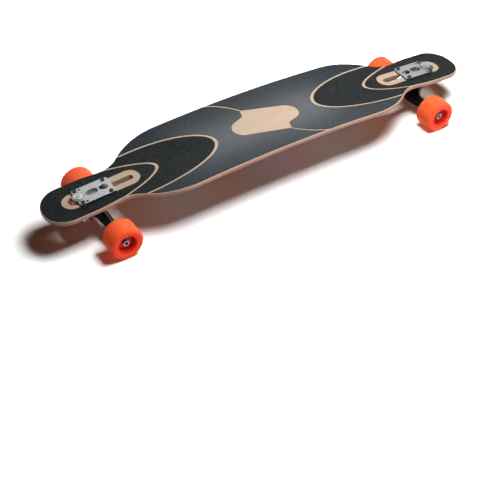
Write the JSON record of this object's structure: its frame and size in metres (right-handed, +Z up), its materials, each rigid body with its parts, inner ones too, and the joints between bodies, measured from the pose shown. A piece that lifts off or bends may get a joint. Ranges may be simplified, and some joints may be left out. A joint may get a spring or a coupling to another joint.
{
  "type": "longboard skateboard",
  "caption": "Drop-through longboard: bowed bamboo deck with wheel cut-outs and grip panels, sprung reverse-kingpin trucks and soft orange wheels.",
  "frame": {"origin": "on the ground under the middle of the board", "axes": "+X along the board towards the rear truck, +Y across it to the right of travel, +Z up"},
  "size_m": [1.06, 0.2452, 0.1199],
  "materials": {
    "bamboo": "clear-coated bamboo laminate",
    "grip_slate": "slate blue-grey grit sheet",
    "grip_charcoal": "charcoal grit sheet",
    "cast_aluminium": "raw cast aluminium",
    "black_hanger": "satin black coated cast aluminium",
    "steel": "bright steel",
    "black_steel": "black oxide steel",
    "shield": "dark pressed shield",
    "cup_urethane": "black urethane",
    "bushing_urethane": "orange-red urethane",
    "wheel_urethane": "orange-red urethane, lightly stoned",
    "wheel_core": "red moulded core"
  },
  "bodies": {
    "board": {"deck": "bamboo", "grip_centre_front": "grip_slate", "grip_centre_rear": "grip_slate", "grip_leaf_front": "grip_charcoal", "grip_leaf_rear": "grip_charcoal", "grip_end_front": "grip_charcoal", "grip_end_rear": "grip_charcoal", "front_baseplate": "cast_aluminium", "front_pivot_cup": "cup_urethane", "front_kingpin": "steel", "front_kingpin_nut": "steel", "front_boardside_bushing": "bushing_urethane", "front_roadside_bushing": "bushing_urethane", "front_bushing_washers": "steel", "front_mounting_bolts": "black_steel", "front_mounting_nuts": "black_steel", "rear_baseplate": "cast_aluminium", "rear_pivot_cup": "cup_urethane", "rear_kingpin": "steel", "rear_kingpin_nut": "steel", "rear_boardside_bushing": "bushing_urethane", "rear_roadside_bushing": "bushing_urethane", "rear_bushing_washers": "steel", "rear_mounting_bolts": "black_steel", "rear_mounting_nuts": "black_steel"},
    "front_steering": {"front_hanger": "black_hanger", "front_axle": "steel", "front_axle_nuts": "steel", "front_speed_rings": "steel", "front_bearing_spacers": "steel", "front_bearing_inner_races": "steel"},
    "rear_steering": {"rear_hanger": "black_hanger", "rear_axle": "steel", "rear_axle_nuts": "steel", "rear_speed_rings": "steel", "rear_bearing_spacers": "steel", "rear_bearing_inner_races": "steel"},
    "front_left_wheel": {"front_left_tyre": "wheel_urethane", "front_left_core": "wheel_core", "front_left_bearing_outer_races": "steel", "front_left_bearing_shields": "shield"},
    "front_left_balls": {"front_left_ball_set": "steel"},
    "front_right_wheel": {"front_right_tyre": "wheel_urethane", "front_right_core": "wheel_core", "front_right_bearing_outer_races": "steel", "front_right_bearing_shields": "shield"},
    "front_right_balls": {"front_right_ball_set": "steel"},
    "rear_left_wheel": {"rear_left_tyre": "wheel_urethane", "rear_left_core": "wheel_core", "rear_left_bearing_outer_races": "steel", "rear_left_bearing_shields": "shield"},
    "rear_left_balls": {"rear_left_ball_set": "steel"},
    "rear_right_wheel": {"rear_right_tyre": "wheel_urethane", "rear_right_core": "wheel_core", "rear_right_bearing_outer_races": "steel", "rear_right_bearing_shields": "shield"},
    "rear_right_balls": {"rear_right_ball_set": "steel"}
  },
  "joints": [
    {"name": "front_steer", "type": "hinge", "parent": "board", "child": "front_steering", "pos_m": [-0.42833, 0, 0.05267], "axis": [-0.8007, 0, 0.599], "range_deg": [-15, 15], "stiffness_Nm_per_rad": 60, "deforming": ["front_boardside_bushing", "front_roadside_bushing"]},
    {"name": "front_left_spin", "type": "hinge", "parent": "front_steering", "child": "front_left_wheel", "pos_m": [-0.40671, -0.0965, 0.0365], "axis": [0, 1, 0], "continuous": true},
    {"name": "front_left_ball_roll", "type": "hinge", "parent": "front_steering", "child": "front_left_balls", "pos_m": [-0.40671, -0.0965, 0.0365], "axis": [0, 1, 0], "continuous": true},
    {"name": "front_right_spin", "type": "hinge", "parent": "front_steering", "child": "front_right_wheel", "pos_m": [-0.40671, 0.0965, 0.0365], "axis": [0, 1, 0], "continuous": true},
    {"name": "front_right_ball_roll", "type": "hinge", "parent": "front_steering", "child": "front_right_balls", "pos_m": [-0.40671, 0.0965, 0.0365], "axis": [0, 1, 0], "continuous": true},
    {"name": "rear_steer", "type": "hinge", "parent": "board", "child": "rear_steering", "pos_m": [0.42833, 0, 0.05267], "axis": [0.8007, 0, 0.599], "range_deg": [-15, 15], "stiffness_Nm_per_rad": 60, "deforming": ["rear_boardside_bushing", "rear_roadside_bushing"]},
    {"name": "rear_left_spin", "type": "hinge", "parent": "rear_steering", "child": "rear_left_wheel", "pos_m": [0.40671, -0.0965, 0.0365], "axis": [0, 1, 0], "continuous": true},
    {"name": "rear_left_ball_roll", "type": "hinge", "parent": "rear_steering", "child": "rear_left_balls", "pos_m": [0.40671, -0.0965, 0.0365], "axis": [0, 1, 0], "continuous": true},
    {"name": "rear_right_spin", "type": "hinge", "parent": "rear_steering", "child": "rear_right_wheel", "pos_m": [0.40671, 0.0965, 0.0365], "axis": [0, 1, 0], "continuous": true},
    {"name": "rear_right_ball_roll", "type": "hinge", "parent": "rear_steering", "child": "rear_right_balls", "pos_m": [0.40671, 0.0965, 0.0365], "axis": [0, 1, 0], "continuous": true}
  ],
  "couplings": [
    {"joint": "front_left_ball_roll", "follows": "front_left_spin", "ratio": 0.63053},
    {"joint": "front_right_ball_roll", "follows": "front_right_spin", "ratio": 0.63053},
    {"joint": "rear_left_ball_roll", "follows": "rear_left_spin", "ratio": 0.63053},
    {"joint": "rear_right_ball_roll", "follows": "rear_right_spin", "ratio": 0.63053}
  ]
}
